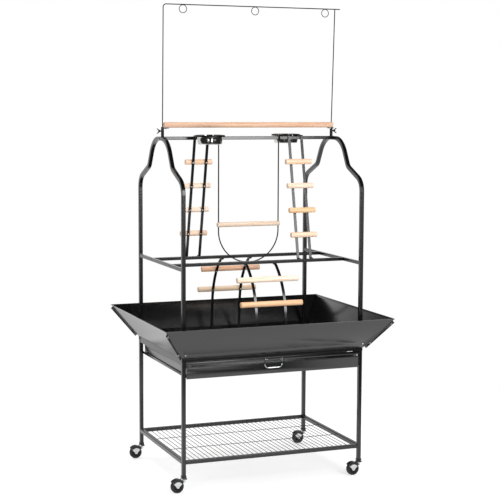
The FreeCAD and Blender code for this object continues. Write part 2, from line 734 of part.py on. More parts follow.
def corner_frame(sx, sy):
    """A skirt corner's foot and outer edge, the way out in its mitre, and the way across it."""
    foot = Vector(sx * SKIRT_FOOT_X, sy * SKIRT_FOOT_Y, TABLE_TOP_Z)
    edge = Vector(sx * SKIRT_RIM_X, sy * SKIRT_RIM_Y, SKIRT_RIM_Z).sub(foot)
    inner_x, inner_y = skirt_ring(SHEET, TABLE_TOP_Z)
    mitre = foot.sub(Vector(sx * inner_x, sy * inner_y, TABLE_TOP_Z))
    across = edge.cross(mitre).normalize()
    if across.y * sy < 0:
        across = across.multiply(-1)
    out = edge.cross(across).normalize()
    if out.dot(mitre) < 0:
        out = out.multiply(-1)
    return foot, edge, out, across


def corner_flange(sx, sy, way):
    """Flange along a skirt corner, on the front or back panel's side of the joint for way 1."""
    foot, edge, out, across = corner_frame(sx, sy)
    low = foot.add(Vector(edge).multiply(FLANGE_RISE / edge.Length))
    high = foot.add(Vector(edge).multiply(1 - FLANGE_SHORT / edge.Length))
    sunk = Vector(out).multiply(-SHEET)
    reach = Vector(out).multiply(FLANGE)
    outline = [low.add(sunk), high.add(sunk), high.add(reach), low.add(reach)]
    shift = Vector(across).multiply(way * SHEET)
    return block_from_faces(outline, [point.add(shift) for point in outline])


def flange_screws():
    """Two screws through each pair of corner flanges, heads to the front or the back."""
    places = []
    for _, sy in ENDS:
        for _, sx in SIDES:
            foot, edge, out, across = corner_frame(sx, sy)
            for rise in FLANGE_SCREWS:
                base = foot.add(Vector(edge).multiply(rise / edge.Length))
                base = base.add(Vector(out).multiply(FLANGE / 2))
                base = base.add(Vector(across).multiply(SHEET))
                places.append((base, Vector(across).multiply(-1), SCREW_SHORT))
    return places


def panel_screws():
    """Screws near the lower corners of the front and back panels."""
    places = []
    for _, sy in ENDS:
        _, half_y = skirt_ring(0, CORNER_SCREW_Z)
        inward = Vector(0, -sy * math.cos(SKIRT_LEAN_Y), math.sin(SKIRT_LEAN_Y))
        for _, sx in SIDES:
            places.append((Vector(sx * LEG_X, sy * half_y, CORNER_SCREW_Z), inward, SCREW_SHORT))
    return places


def skirt_panel(end, sign):
    """One panel: sheet, hem folded inside its rim, foot flange and two corner flanges."""
    sheet = skirt_plate(end, sign, 0, SHEET, TABLE_TOP_Z, SKIRT_RIM_Z)
    hem = skirt_plate(end, sign, SHEET, 2 * SHEET, SKIRT_RIM_Z - HEM, SKIRT_RIM_Z)
    foot_x, foot_y = skirt_ring(SHEET / 2, TABLE_TOP_Z)
    top = TABLE_TOP_Z + SHEET
    if end in ("front", "back"):
        reach = LEG_X - SKIRT_NOTCH
        foot = box(-reach, reach, sign * foot_y, sign * (foot_y - SKIRT_FOOT), TABLE_TOP_Z, top)
        flanges = [corner_flange(sx, sign, 1) for _, sx in SIDES]
    else:
        reach = LEG_Y - SKIRT_NOTCH
        foot = box(sign * foot_x, sign * (foot_x - SKIRT_FOOT), -reach, reach, TABLE_TOP_Z, top)
        flanges = [corner_flange(sign, sy, -1) for _, sy in ENDS]
    return drill(fused([sheet, hem, foot] + flanges), flange_screws() + panel_screws())


def save_skirt():
    for end, sign in ENDS + SIDES:
        save("skirt_" + end, skirt_panel(end, sign))
    save("skirt_screws", [screw(*place) for place in flange_screws() + panel_screws()])


# ---- Upper frame ----
def arch(x):
    """End arch: two uprights that draw in at the waist and meet over the beam."""
    half = [
        (LEG_Y, TABLE_TOP_Z), (LEG_Y, SHOULDER_Z), (WAIST_Y, WAIST_Z), (CROWN_Y, CROWN_Z),
    ]
    bends = [SHOULDER_R, WAIST_R, CROWN_R]
    outline = [(-y, z) for y, z in half] + half[::-1]
    points = [Vector(x, y, z) for y, z in outline]
    path = bent_path(points, bends + bends[::-1])
    outer = rounded_rectangle(TUBE, TUBE, TUBE_CORNER)
    bore = TUBE - 2 * WALL
    inner = rounded_rectangle(bore, bore, TUBE_CORNER - WALL)
    solids = [swept(path, profile, points[0], Z, X) for profile in (outer, inner)]
    return drill(solids[0].cut(solids[1]), beam_screws())


def long_bar(y):
    """Long bar between the side bars, with holes for the upper ladders' pegs and the lower
    ladders' screws."""
    bar = straight_tube(Vector(BAR / 2 - LEG_X, y, MID_BAR_Z), Vector(LEG_X - BAR / 2, y, MID_BAR_Z),
                        Z, BAR, BAR, BAR_CORNER)
    holes = []
    for _, sx in SIDES:
        for rail_x in upper_rail_places(sx):
            top = Vector(rail_x, y, BAR_TOP_Z + OVERLAP)
            holes.append(rod(PEG_R + FIT, top, Vector(rail_x, y, BAR_TOP_Z - WALL - OVERLAP)))
    return drill(bar.cut(Part.makeCompound(holes)), ladder_screws())


def save_upper_frame():
    for side, sx in SIDES:
        save("arch_" + side, arch(sx * LEG_X))
        start = Vector(sx * LEG_X, -LEG_INNER_Y, MID_BAR_Z)
        bar = straight_tube(start, Vector(sx * LEG_X, LEG_INNER_Y, MID_BAR_Z), Z, BAR, BAR, BAR_CORNER)
        save("side_bar_" + side, drill(bar, bar_screws()))
    for end, sy in ENDS:
        save("long_bar_" + end, long_bar(sy * LONG_BAR_Y))
    start = Vector(-LEG_INNER_X, 0, BEAM_Z)
    beam = straight_tube(start, Vector(LEG_INNER_X, 0, BEAM_Z), Z, BAR, BAR, BAR_CORNER)
    save("top_beam", drill(beam, cup_screws()))
    places = bar_screws() + beam_screws() + cup_screws() + perch_screws() + ladder_screws()
    save("frame_screws", [screw(*place) for place in places])


# ---- Sockets, hanger and top perch ----
def hanger_socket(sx):
    """Upright socket on the beam's end, with the bracket under the top perch."""
    x = sx * SOCKET_X
    post = rod(SOCKET_R, Vector(x, 0, ARCH_TOP_Z), Vector(x, 0, SOCKET_TOP_Z))
    top = PERCH_Z - PERCH_R - SLACK
    inner = SOCKET_X - BRACKET_LONG
    bracket = box(sx * (SOCKET_X + SOCKET_R / 2), sx * inner, -SOCKET_R / 2, PERCH_Y - PERCH_R / 2,
                  top - BRACKET_THICK, top)
    bore = rod(ROD_R + ROD_FIT, Vector(x, 0, ARCH_TOP_Z), Vector(x, 0, SOCKET_TOP_Z))
    outside = Vector(sx * (SOCKET_X + SOCKET_R + OVERLAP), 0, WING_Z)
    side_hole = rod(BOLT_R + BOLT_FIT, Vector(x, 0, WING_Z), outside)
    return drill(fused([post, bracket]).cut(bore).cut(side_hole), perch_screws())


def wing_bolt(sx):
    """Wing bolt that clamps the hanger's rod in its socket."""
    out = Vector(sx, 0, 0)
    tip = Vector(sx * (SOCKET_X + ROD_R + BOLT_GAP), 0, WING_Z)
    hub_start = Vector(sx * (SOCKET_X + SOCKET_R + BOLT_HUB_START), 0, WING_Z)
    hub_end = hub_start.add(Vector(out).multiply(BOLT_HUB_LENGTH))
    pieces = [rod(BOLT_R, tip, hub_start), rod(BOLT_HUB_R, hub_start, hub_end)]
    root = SOCKET_X + SOCKET_R + BOLT_HUB_START + WING_ROOT_START
    end = SOCKET_X + SOCKET_R + WING_REACH
    for turn in (-1, 1):
        outline = [
            (root, WING_ROOT_R), (root + WING_ROOT_LENGTH, WING_ROOT_R), (end, WING_TIP_SPAN),
            (end - WING_TIP, WING_SPAN),
        ]
        points = [Vector(sx * x, -WING_THICK / 2, WING_Z + turn * z) for x, z in outline]
        leaf = Part.Face(Part.makePolygon(points + [points[0]])).extrude(Vector(0, WING_THICK, 0))
        pieces.append(leaf)
    return fused(pieces)


def toy_hanger():
    """Wire frame that stands in the two sockets, with three rings under its top rod."""
    bend_z = SOCKET_TOP_Z + HANGER_BEND
    left = [
        Vector(-SOCKET_X, 0, ARCH_TOP_Z), Vector(-SOCKET_X, 0, bend_z),
        Vector(HANGER_LEFT_LEAN - SOCKET_X, 0, HANGER_TOP_Z), Vector(HANGER_TAIL_X, 0, HANGER_TOP_Z),
    ]
    right = [
        Vector(SOCKET_X, 0, ARCH_TOP_Z), Vector(SOCKET_X, 0, bend_z),
        Vector(SOCKET_X + HANGER_RIGHT_LEAN, 0, HANGER_TOP_Z - OVERLAP),
    ]
    pieces = [bent_rod(left, [HANGER_LEAN_BEND, HANGER_BEND], ROD_R, Y)]
    pieces.append(bent_rod(right, [HANGER_LEAN_BEND], ROD_R, Y))
    hanger = fused(pieces)
    for x in RING_X:
        middle = Vector(x, 0, HANGER_TOP_Z - RING_DROP)
        hanger = hanger.fuse(Part.makeTorus(RING_R, RING_WIRE_R, middle, Y))
    return hanger


def top_perch():
    """Long wooden perch in front of the hanger's rods."""
    start = Vector(-PERCH_HALF, PERCH_Y, PERCH_Z)
    return drill(rod(PERCH_R, start, Vector(PERCH_HALF, PERCH_Y, PERCH_Z)), perch_screws())


def save_top():
    for side, sx in SIDES:
        save("hanger_socket_" + side, hanger_socket(sx))
        save("wing_bolt_" + side, wing_bolt(sx))
    save("toy_hanger", toy_hanger())
    save("top_perch", top_perch())


# ---- Cups ----
def cup_ring(sx):
    """Ring holder with the tab that lies on the beam."""
    middle = Vector(sx * CUP_X, sx * CUP_Y, ARCH_TOP_Z)
    band = Part.makeCylinder(RING_HOLDER_OUT, RING_HOLDER_HEIGHT, middle)
    tab = box(middle.x - HOLDER_TAB / 2, middle.x + HOLDER_TAB / 2, -sx * BAR / 2,
              sx * (CUP_Y - RING_HOLDER_OUT + HOLDER_TAB_LAP), ARCH_TOP_Z, ARCH_TOP_Z + HOLDER_TAB_THICK)
    below = middle.sub(Vector(0, 0, RING_HOLDER_HEIGHT))
    hole = Part.makeCylinder(RING_HOLDER_IN, 3 * RING_HOLDER_HEIGHT, below)
    return drill(fused([band, tab]).cut(hole), cup_screws())


def cup(sx):
    """Round feeding cup whose lip rests on its ring."""
    foot_z = CUP_RIM_Z - CUP_DEPTH
    outline = [
        (0, foot_z), (CUP_FOOT_R, foot_z), (CUP_R, CUP_RING_Z), (CUP_LIP_R, CUP_RING_Z),
        (CUP_LIP_R, CUP_RIM_Z), (CUP_R - CUP_WALL, CUP_RIM_Z), (CUP_FOOT_R - CUP_WALL, foot_z + CUP_WALL),
        (0, foot_z + CUP_WALL),
    ]
    points = [Vector(r, 0, z) for r, z in outline]
    body = Part.Face(Part.makePolygon(points + [points[0]])).revolve(ZERO, Z, 360)
    body.translate(Vector(sx * CUP_X, sx * CUP_Y, 0))
    return body


def save_cups():
    for side, sx in SIDES:
        save("cup_ring_" + side, cup_ring(sx))
        save("cup_" + side, cup(sx))


# ---- Swing ----
def swing_wire():
    """Bow of wire whose closed eyes hang on the beam's two upper corners."""
    corner = BAR / 2 - BAR_CORNER
    inner_r = math.hypot(corner, corner) + BAR_CORNER + SWING_EYE_ROOM
    drop = math.sqrt((inner_r - SLACK - BAR_CORNER) ** 2 - corner ** 2) - corner
    eye_r = inner_r + SWING_WIRE_R
    eye_z = BEAM_Z - drop
    top = eye_z - eye_r
    bow_low = Vector(0, 0, SWING_BOW_Z - SWING_X)
    left_top = Vector(-SWING_X, 0, top)
    left_low = Vector(-SWING_X, 0, SWING_BOW_Z)
    right_low = Vector(SWING_X, 0, SWING_BOW_Z)
    right_top = Vector(SWING_X, 0, top)
    path = Part.Wire([
        Part.LineSegment(left_top, left_low).toShape(),
        Part.Arc(left_low, bow_low, right_low).toShape(),
        Part.LineSegment(right_low, right_top).toShape(),
    ])
    profile = Part.Wire(Part.makeCircle(SWING_WIRE_R))
    pieces = [swept(path, profile, left_top, Vector(0, 0, -1), Y)]
    for _, sx in SIDES:
        pieces.append(Part.makeTorus(eye_r, SWING_WIRE_R, Vector(sx * SWING_X, 0, eye_z), X))
    return fused(pieces)


def swing_perch():
    """Wooden perch threaded on the wire."""
    start = Vector(-SWING_PERCH_HALF, 0, SWING_PERCH_Z)
    perch = rod(SWING_PERCH_R, start, Vector(SWING_PERCH_HALF, 0, SWING_PERCH_Z))
    for _, sx in SIDES:
        low = Vector(sx * SWING_X, 0, SWING_PERCH_Z - 2 * SWING_PERCH_R)
        perch = perch.cut(rod(SWING_WIRE_R + FIT, low, low.add(Vector(0, 0, 4 * SWING_PERCH_R))))
    return perch


# ---- Ladders, drawn on the back side and mirrored for the front ----
def upper_rail_places(sx):
    return [sx * UPPER_X - UPPER_RAIL_HALF, sx * UPPER_X + UPPER_RAIL_HALF]


HOOK_Y = BAR / 2 + SLACK + FLAT / 2
KINK_Z = BEAM_Z - UPPER_KINK_DROP
FOOT_Z = BAR_TOP_Z + FLAT / 2
LEAN_Y = LONG_BAR_Y - BAR / 2 - HOOK_BEND


def upper_ladder_rails(sx, sy):
    """Two rails that hook over the beam and stand on a long bar with a peg."""
    hook_z = ARCH_TOP_Z + SLACK + FLAT / 2
    points = [
        (-HOOK_Y, ARCH_TOP_Z - UPPER_HOOK_TIP), (-HOOK_Y, hook_z), (HOOK_Y, hook_z),
        (HOOK_Y, KINK_Z), (LEAN_Y, FOOT_Z), (LONG_BAR_Y + BAR / 2 - UPPER_TOE_INSET, FOOT_Z),
    ]
    rails = []
    for x in upper_rail_places(sx):
        rail = bent_flat(points, [HOOK_BEND, HOOK_BEND, 2 * HOOK_BEND, HOOK_BEND], x)
        peg = rod(PEG_R, Vector(x, LONG_BAR_Y, FOOT_Z), Vector(x, LONG_BAR_Y, BAR_TOP_Z - PEG_LENGTH))
        rail = fused([rail, peg])
        rails.append(rail if sy > 0 else mirrored_y(rail))
    return rails


def upper_ladder_rungs(sx, sy):
    """Four short rungs screwed to the outer side of the rails."""
    run = Vector(0, LEAN_Y - HOOK_Y, FOOT_Z - KINK_Z).normalize()
    out = Vector(0, -run.z, run.y)
    offset = FLAT / 2 + SLACK + UPPER_RUNG_R
    rungs = []
    for z in UPPER_RUNG_Z:
        rail_z = z - out.z * offset
        rail_y = HOOK_Y + (rail_z - KINK_Z) * run.y / run.z
        y = sy * (rail_y + out.y * offset)
        start = Vector(sx * UPPER_X - UPPER_RUNG_HALF, y, z)
        rungs.append(rod(UPPER_RUNG_R, start, Vector(sx * UPPER_X + UPPER_RUNG_HALF, y, z)))
    return rungs


def lower_outline():
    """Corners (Y, Z) of a lower ladder's rail, from the tab under the long bar to its foot."""
    tab_z = BAR_LOW_Z - FLAT / 2
    foot_z = TABLE_TOP_Z + SHEET + FLAT / 2
    return [
        (LONG_BAR_Y - BAR / 2 + LOWER_TAB_INSET, tab_z), (LONG_BAR_Y + BAR / 2 + LOWER_TAB_REACH, tab_z),
        (LOWER_BEND_Y, LOWER_BEND_Z), (LOWER_FOOT_Y, foot_z), (LOWER_FOOT_Y + LOWER_FOOT_TOE, foot_z),
    ]


def lower_ladder_rails(middle_x, sy):
    """Two curved rails, screwed under a long bar and standing on the table frame."""
    rails = []
    for side in (-1, 1):
        radii = [HOOK_BEND, LOWER_BEND_R, LOWER_FOOT_BEND]
        rail = bent_flat(lower_outline(), radii, middle_x + side * LOWER_RAIL_HALF)
        rails.append(drill(rail if sy > 0 else mirrored_y(rail), ladder_screws()))
    return rails


def lower_ladder_rungs(middle_x, sy):
    """Two long rungs screwed to the outer side of the rails' bend."""
    outline = [Vector(0, y, z) for y, z in lower_outline()]
    corner = outline[2]
    back = outline[1].sub(corner).normalize()
    ahead = outline[3].sub(corner).normalize()
    half = back.getAngle(ahead) / 2
    inward = back.add(ahead).normalize()
    centre = corner.add(Vector(inward).multiply(LOWER_BEND_R / math.sin(half)))
    reach = LOWER_BEND_R + FLAT / 2 + SLACK + LOWER_RUNG_R
    rungs = []
    for rise in LOWER_RUNG_RISE:
        z = LOWER_BEND_Z + rise
        y = sy * (centre.y + math.sqrt(reach ** 2 - (z - centre.z) ** 2))
        start = Vector(middle_x - LOWER_RUNG_HALF, y, z)
        rungs.append(rod(LOWER_RUNG_R, start, Vector(middle_x + LOWER_RUNG_HALF, y, z)))
    return rungs


def save_ladders():
    save("ladder_upper_left_rails", upper_ladder_rails(-1, 1))
    save("ladder_upper_left_rungs", upper_ladder_rungs(-1, 1))
    save("ladder_upper_right_rails", upper_ladder_rails(1, -1))
    save("ladder_upper_right_rungs", upper_ladder_rungs(1, -1))
    save("ladder_lower_back_rails", lower_ladder_rails(LOWER_BACK_X, 1))
    save("ladder_lower_back_rungs", lower_ladder_rungs(LOWER_BACK_RUNG_X, 1))
    save("ladder_lower_front_rails", lower_ladder_rails(LOWER_FRONT_X, -1))
    save("ladder_lower_front_rungs", lower_ladder_rungs(LOWER_FRONT_RUNG_X, -1))


os.makedirs("parts", exist_ok=True)
save_casters()
save_legs()
save_shelf()
save_table()
save("drawer_pan", drawer_pan())
save("drawer_pull_strip", drawer_pull_strip())
save("drawer_handle", drawer_handle())
save_skirt()
save_upper_frame()
save_top()
save_cups()
save("swing_wire", swing_wire())
save("swing_perch", swing_perch())
save_ladders()
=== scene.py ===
import json
import math

import bmesh
import bpy
from mathutils import Matrix, Vector


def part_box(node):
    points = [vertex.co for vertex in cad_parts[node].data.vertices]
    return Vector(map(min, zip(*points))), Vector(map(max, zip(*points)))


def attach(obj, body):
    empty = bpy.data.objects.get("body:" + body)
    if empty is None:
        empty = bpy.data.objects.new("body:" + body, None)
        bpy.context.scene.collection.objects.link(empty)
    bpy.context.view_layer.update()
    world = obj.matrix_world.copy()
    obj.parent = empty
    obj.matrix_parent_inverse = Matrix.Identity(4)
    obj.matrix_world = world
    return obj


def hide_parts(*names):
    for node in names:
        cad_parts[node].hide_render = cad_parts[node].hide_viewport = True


# Parrot play stand: black hammertone tube frame, sheet skirt and drawer, bare wood dowels,
# steel cups and zinc casters. Lengths here are in millimetres and turned to metres by MM.
MM = 0.001
LEG_X, LEG_Y = 367.5, 275.0
LONG_BAR_Y = 117.0
CUP_X, CUP_Y = 189.7, 71.0
UPPER_RUNG_R, LOWER_RUNG_R = 10.75, 11.0
SIDES = (("left", -1), ("right", 1))

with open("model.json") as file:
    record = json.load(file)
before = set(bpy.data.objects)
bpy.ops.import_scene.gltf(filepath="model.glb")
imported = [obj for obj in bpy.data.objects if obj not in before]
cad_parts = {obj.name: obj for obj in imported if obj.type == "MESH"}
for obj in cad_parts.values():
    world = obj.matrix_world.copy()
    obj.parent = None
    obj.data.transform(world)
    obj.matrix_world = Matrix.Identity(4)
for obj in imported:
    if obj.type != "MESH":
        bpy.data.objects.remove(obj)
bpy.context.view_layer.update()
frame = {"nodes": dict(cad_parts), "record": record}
SLOT_OF = {part["node"]: part["material_slot"] for part in frame["record"]["subparts"]}
BODY_OF = {node: body for body, nodes in frame["record"]["behaviour"]["bodies"].items() for node in nodes}
SHARP_FROM = 35.0           # degrees between faces from which an edge is a real one


# ---- Small tools ----
def linear(code):
    """Linear colour from an sRGB hex code."""
    shades = [int(code[place:place + 2], 16) / 255 for place in (1, 3, 5)]
    straight = [s / 12.92 if s <= 0.04045 else ((s + 0.055) / 1.055) ** 2.4 for s in shades]
    return (*straight, 1.0)


def add(tree, kind, links=None, **settings):
    """Add a node. Links map an input to a value or to another node's output."""
    node = tree.nodes.new(kind)
    for name, value in settings.items():
        setattr(node, name, value)
    for socket, value in (links or {}).items():
        if isinstance(value, bpy.types.NodeSocket):
            tree.links.new(value, node.inputs[socket])
        else:
            node.inputs[socket].default_value = value
    return node


def new_material(name):
    """Material with an empty tree, its Principled shader and its output."""
    material = bpy.data.materials.new(name)
    material.use_nodes = True
    tree = material.node_tree
    tree.nodes.clear()
    shader = add(tree, "ShaderNodeBsdfPrincipled")
    add(tree, "ShaderNodeOutputMaterial", {"Surface": shader.outputs["BSDF"]})
    return material, tree, shader


def two_tones(tree, share, low, high):
    """Colour between two hex codes by a 0 to 1 share."""
    ramp = add(tree, "ShaderNodeValToRGB", {"Fac": share})
    ramp.color_ramp.elements[0].color = linear(low)
    ramp.color_ramp.elements[1].color = linear(high)
    return ramp.outputs["Color"]


def spread(tree, value, low, high):
    """Map a 0 to 1 value to a range."""
    mapped = add(tree, "ShaderNodeMapRange", {"Value": value, "To Min": low, "To Max": high})
    return mapped.outputs["Result"]


def ring(bm, centre, normal, radius, sides, cap=False):
    """Circle of edges square to a direction."""
    turn = Vector(normal).to_track_quat("Z", "Y").to_matrix().to_4x4()
    place = Matrix.Translation(Vector(centre)) @ turn
    verts = bmesh.ops.create_circle(bm, cap_ends=cap, segments=sides, radius=radius, matrix=place)["verts"]
    return list({edge for vert in verts for edge in vert.link_edges}), verts


def joined(bm, rings, closed):
    """Skin a row of rings, from the last back to the first too where it is closed."""
    pairs = list(zip(rings, rings[1:]))
    if closed:
        pairs.append((rings[-1], rings[0]))
    for first, second in pairs:
        bmesh.ops.bridge_loops(bm, edges=first + second)


def painted(bm, old_faces, material):
    """Give the faces added since old_faces their material."""
    for face in set(bm.faces) - old_faces:
        face.material_index = material


def turned(bm, origin, axis, profile, sides=40, material=0, closed=False):
    """Lathe-turned solid: rings at (along, radius), capped at both ends or closed on itself."""
    old_faces = set(bm.faces)
    along = Vector(axis).normalized()
    rings = []
    verts = []
    for index, (distance, radius) in enumerate(profile):
        cap = not closed and index in (0, len(profile) - 1)
        edges, new = ring(bm, Vector(origin) + along * distance, along, radius, sides, cap)
        rings.append(edges)
        verts += new
    joined(bm, rings, closed)
    painted(bm, old_faces, material)
    return verts


def wire(bm, points, radius, sides=8):
    """Round wire through a row of points, capped at both ends."""
    rings = []
    places = [Vector(point) for point in points]
    last = len(places) - 1
    for index, place in enumerate(places):
        before = places[max(index - 1, 0)]
        after = places[min(index + 1, last)]
        rings.append(ring(bm, place, after - before, radius, sides, index in (0, last))[0])
    joined(bm, rings, False)


def plate(bm, outline, thickness, material=0):
    """Flat plate: an outline of points and the vector it is thickened by."""
    old_faces = set(bm.faces)
    face = bm.faces.new([bm.verts.new(Vector(point)) for point in outline])
    out = bmesh.ops.extrude_face_region(bm, geom=[face])["geom"]
    moved = [part for part in out if isinstance(part, bmesh.types.BMVert)]
    bmesh.ops.translate(bm, vec=Vector(thickness), verts=moved)
    painted(bm, old_faces, material)


def new_piece(name, bm, materials, nodes, beside=None):
    """Finish a bmesh drawn in millimetres as the piece that stands for some CAD nodes, or
    as one that only rides beside a node."""
    bmesh.ops.scale(bm, vec=(MM, MM, MM), verts=bm.verts)
    bmesh.ops.recalc_face_normals(bm, faces=bm.faces)
    return finished(name, bm, materials, nodes, beside)


def finished(name, bm, materials, nodes, beside=None):
    """Turn a bmesh into an object with the given materials that rides on its nodes' body and hides those
    nodes.
    """
    mesh = bpy.data.meshes.new(name)
    bm.to_mesh(mesh)
    bm.free()
    piece = bpy.data.objects.new(name, mesh)
    bpy.context.scene.collection.objects.link(piece)
    for material in materials:
        mesh.materials.append(material)
    mesh.shade_smooth()
    mesh.set_sharp_from_angle(angle=math.radians(SHARP_FROM))
    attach(piece, BODY_OF[beside or nodes[0]])
    if nodes:
        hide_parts(*nodes)
    return piece


def softened(node, width, material):
    """Copy of a CAD piece with its sharp edges rounded, so that they catch the light."""
    bm = bmesh.new()
    bm.from_mesh(frame["nodes"][node].data)
    bmesh.ops.remove_doubles(bm, verts=bm.verts, dist=0.005 * MM)
    bmesh.ops.dissolve_limit(bm, angle_limit=math.radians(0.3), verts=bm.verts, edges=bm.edges)
    sharp = [edge for edge in bm.edges
             if edge.is_manifold and edge.calc_face_angle(0) > math.radians(SHARP_FROM)]
    bmesh.ops.bevel(bm, geom=sharp, offset=width * MM, offset_type="OFFSET", affect="EDGES",
                    segments=2, profile=0.5, material=-1, clamp_overlap=True)
    return finished(node + "_soft", bm, [material], [node])


# ---- Materials ----
def hammertone_coat(name, deep, light, roughness, dimple=3.0, strength=0.4, ior=1.6):
    """Hammertone powder coat, sprayed and baked: near black with soft dimples that break up
    the reflections into small grey patches."""
    material, tree, shader = new_material(name)
    place = add(tree, "ShaderNodeTexCoord").outputs["Object"]
    dimples = add(tree, "ShaderNodeTexNoise", {
        "Vector": place, "Scale": 1 / (dimple * MM), "Detail": 2.0, "Roughness": 0.45,
    })
    clouds = add(tree, "ShaderNodeTexNoise", {"Vector": place, "Scale": 1 / (45 * MM), "Detail": 3.0})
    tree.links.new(two_tones(tree, clouds.outputs["Fac"], deep, light), shader.inputs["Base Color"])
    tree.links.new(spread(tree, dimples.outputs["Fac"], roughness - 0.06, roughness + 0.06),
                   shader.inputs["Roughness"])
    shader.inputs["IOR"].default_value = ior
    bump = add(tree, "ShaderNodeBump", {
        "Strength": strength, "Distance": 0.12 * MM, "Height": dimples.outputs["Fac"],
    })
    tree.links.new(bump.outputs["Normal"], shader.inputs["Normal"])
    return material


def plated_metal(name, code, roughness, cloud=6.0):
    """Zinc or chrome plated steel: bright, with faint clouding of the plating."""
    material, tree, shader = new_material(name)
    place = add(tree, "ShaderNodeTexCoord").outputs["Object"]
    clouds = add(tree, "ShaderNodeTexNoise", {"Vector": place, "Scale": 1 / (cloud * MM), "Detail": 4.0})
    shader.inputs["Base Color"].default_value = linear(code)
    shader.inputs["Metallic"].default_value = 1.0
    tree.links.new(spread(tree, clouds.outputs["Fac"], roughness * 0.75, roughness * 1.25),
                   shader.inputs["Roughness"])
    return material


def moulded_black(name, code, roughness, grain):
    """Moulded rubber or plastic: even black with a fine mould grain."""
    material, tree, shader = new_material(name)
    place = add(tree, "ShaderNodeTexCoord").outputs["Object"]
    speck = add(tree, "ShaderNodeTexNoise", {"Vector": place, "Scale": 1 / (grain * MM), "Detail": 2.0})
    shader.inputs["Base Color"].default_value = linear(code)
    tree.links.new(spread(tree, speck.outputs["Fac"], roughness - 0.05, roughness + 0.08),
                   shader.inputs["Roughness"])
    bump = add(tree, "ShaderNodeBump", {
        "Strength": 0.2, "Distance": 0.05 * MM, "Height": speck.outputs["Fac"],
    })
    tree.links.new(bump.outputs["Normal"], shader.inputs["Normal"])
    return material


def sanded_wood(name, shade, roughness):
    """Bare hardwood dowel, turned and sanded: pale with fine lengthwise grain and faint growth
    rings, each dowel in its own tint. The grain attribute runs along the dowel; the tint per dowel
    multiplies in its own wood tone together with painted light."""
    material, tree, shader = new_material(name)
    place = add(tree, "ShaderNodeAttribute", attribute_name="grain").outputs["Vector"]
    drawn = add(tree, "ShaderNodeMapping", {"Vector": place, "Scale": (0.05, 1.0, 1.0)}).outputs["Vector"]
    fibre = add(tree, "ShaderNodeTexNoise", {
        "Vector": drawn, "Scale": 1 / (0.8 * MM), "Detail": 4.0, "Roughness": 0.6,
    })
    bands = add(tree, "ShaderNodeTexNoise", {
        "Vector": drawn, "Scale": 1 / (5 * MM), "Detail": 2.0, "Distortion": 0.6,
    })
    tone = add(tree, "ShaderNodeMath", {0: fibre.outputs["Fac"], 1: 0.45}, operation="MULTIPLY")
    tone = add(tree, "ShaderNodeMath", {
        0: bands.outputs["Fac"], 1: 0.55, 2: tone.outputs["Value"],
    }, operation="MULTIPLY_ADD")
    stripes = add(tree, "ShaderNodeValToRGB", {"Fac": tone.outputs["Value"]})
    stripes.color_ramp.elements[0].position = 0.33
    stripes.color_ramp.elements[0].color = linear(shade)
    stripes.color_ramp.elements[1].position = 0.62
    stripes.color_ramp.elements[1].color = (1, 1, 1, 1)
    # Tint per dowel: partly the wood's own tone, partly painted light
    tint_and_light = add(tree, "ShaderNodeAttribute", attribute_name="tint_and_light").outputs["Color"]
    mixed = add(tree, "ShaderNodeMix", data_type="RGBA", blend_type="MULTIPLY")
    mixed.inputs[0].default_value = 1.0
    tree.links.new(tint_and_light, mixed.inputs[6])
    tree.links.new(stripes.outputs["Color"], mixed.inputs[7])
    tree.links.new(mixed.outputs[2], shader.inputs["Base Color"])
    shader.inputs["Roughness"].default_value = roughness
    bump = add(tree, "ShaderNodeBump", {
        "Strength": 0.25, "Distance": 0.1 * MM, "Height": fibre.outputs["Fac"],
    })
    tree.links.new(bump.outputs["Normal"], shader.inputs["Normal"])
    return material


# Glossy black with small soft dimples, on every tube
FRAME_COAT = hammertone_coat("powder_coat_hammertone_tube", "#09090A", "#101011", 0.19, ior=1.58)
# The same coat on flat sheet: charcoal where the floor shows in it, its dimples wide and flat
SHEET_COAT = hammertone_coat("powder_coat_hammertone_sheet", "#0A0A0C", "#111113", 0.2, 5.0, 0.22, 1.68)
# Thinner, duller black on wire and flat bar
WIRE_COAT = hammertone_coat("powder_coat_smooth_wire", "#070707", "#0C0C0C", 0.34, 1.2, 0.3, 1.36)
# Bright mirror-like wire of the drawer's handle
CHROME = plated_metal("chrome_plated_wire", "#D9DADC", 0.1)
# Silvery, faintly clouded plating of casters and screws
ZINC = plated_metal("zinc_plated_steel", "#CFD0D1", 0.26)
# Polished cup steel: black and white bands of the room
STAINLESS = plated_metal("stainless_spun_polished", "#CDCDCC", 0.12, 14.0)
# Dull black tyre
RUBBER = moulded_black("rubber_moulded_tread", "#131313", 0.6, 0.7)
# Smooth black of the caster hoods and leg collars
HOOD_BLACK = moulded_black("steel_black_lacquered_hood", "#0A0A0A", 0.3, 1.5)
# Pale beige dowels with fine lengthwise grain
WOOD = sanded_wood("hardwood_dowel_sanded", "#E9CBAA", 0.55)
# Darker brown sawn ends: the end grain's own darker tone, deepened with painted shade
END_GRAIN_AND_SHADE = sanded_wood("hardwood_dowel_sawn_end_painted_shade", "#7A5636", 0.7)

SLOT_MATERIALS = {
    "frame_coat": FRAME_COAT, "sheet_coat": SHEET_COAT, "wire_coat": WIRE_COAT,
    "swing_steel": WIRE_COAT, "handle_chrome": CHROME, "screw_steel": ZINC,
    "caster_zinc": ZINC, "caster_rubber": RUBBER, "collar_plastic": HOOD_BLACK,
    "cup_steel": STAINLESS, "perch_wood": WOOD,
}
for node, slot in SLOT_OF.items():
    frame["nodes"][node].data.materials.clear()
    frame["nodes"][node].data.materials.append(SLOT_MATERIALS[slot])


# ---- Dowels ----
DOWEL_CHAMFER = 1.1
DOWEL_ARRIS = 0.35          # the chamfer's own worn edge
GRAIN_SHIFT = Vector((0, 61, 37))   # each dowel is cut from another place in the wood


